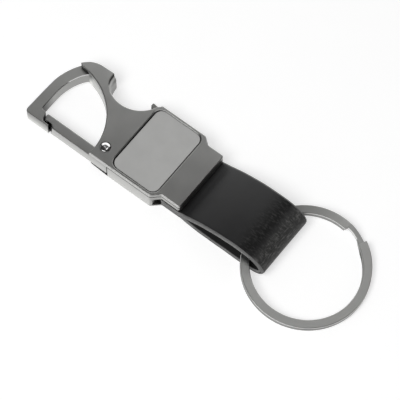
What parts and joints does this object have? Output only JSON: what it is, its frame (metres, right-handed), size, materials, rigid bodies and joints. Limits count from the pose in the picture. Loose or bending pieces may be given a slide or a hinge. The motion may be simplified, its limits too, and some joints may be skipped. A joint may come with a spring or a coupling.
{
  "type": "carabiner keychain",
  "caption": "Metal carabiner keychain with a sprung gate, bottle opener mouth, inlaid front plate, leather loop in a clasp, and a flat split ring.",
  "frame": {"origin": "under the middle of the whole keychain, on the surface that it lies on", "axes": "+Z out of the front cover, +X from the snap hook's nose towards the split ring, +Y towards the bottle opener's mouth; the gate is on the -Y side"},
  "size_m": [0.1043, 0.035, 0.0084],
  "materials": {
    "gunmetal_cast": "satin gunmetal plating on a zinc casting",
    "gunmetal_satin": "satin gunmetal plating with a fine blasted grain",
    "inlay_satin_steel": "satin, lighter than the body",
    "adhesive_film": "thin double-sided adhesive film, hidden",
    "zinc_plated_steel": "zinc plated, hidden",
    "hardened_steel": "dark hardened steel",
    "polished_steel": "polished dome",
    "spring_steel": "bright wire",
    "black_leather": "smooth black leather with a fine grain and light creases at the fold",
    "leather_lining": "dull black lining leather",
    "steel_pin": "plain steel, hidden",
    "nickel_plated_steel": "satin black-nickel plating"
  },
  "bodies": {
    "body": {"body_frame": "gunmetal_cast", "front_cover": "gunmetal_satin", "front_inlay": "inlay_satin_steel", "inlay_adhesive": "adhesive_film", "cover_screw_1": "zinc_plated_steel", "cover_screw_2": "zinc_plated_steel", "cover_screw_3": "zinc_plated_steel", "cover_screw_4": "zinc_plated_steel", "opener_tooth": "hardened_steel", "gate_rivet": "polished_steel", "gate_spring": "spring_steel", "strap_end_upper": "black_leather", "strap_end_lower": "black_leather", "strap_pin_1": "steel_pin", "strap_pin_2": "steel_pin"},
    "gate": {"gate": "gunmetal_satin"},
    "strap_loop": {"strap_outer_ply": "black_leather", "strap_lining_ply": "leather_lining"},
    "split_ring": {"split_ring": "nickel_plated_steel"}
  },
  "joints": [
    {"name": "gate_pivot", "type": "hinge", "parent": "body", "child": "gate", "pos_m": [-0.02782, -0.00656, 0.0034], "axis": [0, 0, -1], "range_deg": [0, 26], "stiffness_Nm_per_rad": 0.02, "springref_deg": -28.65, "deforming": ["gate_spring"]},
    {"name": "strap_flex", "type": "hinge", "parent": "body", "child": "strap_loop", "pos_m": [0.00008, 0, 0.0027], "axis": [0, 1, 0], "range_deg": [-40, 40], "stiffness_Nm_per_rad": 0.02},
    {"name": "ring_swing", "type": "hinge", "parent": "strap_loop", "child": "split_ring", "pos_m": [0.02118, 0, 0.00355], "axis": [0, -1, 0], "range_deg": [-14, 16]}
  ]
}
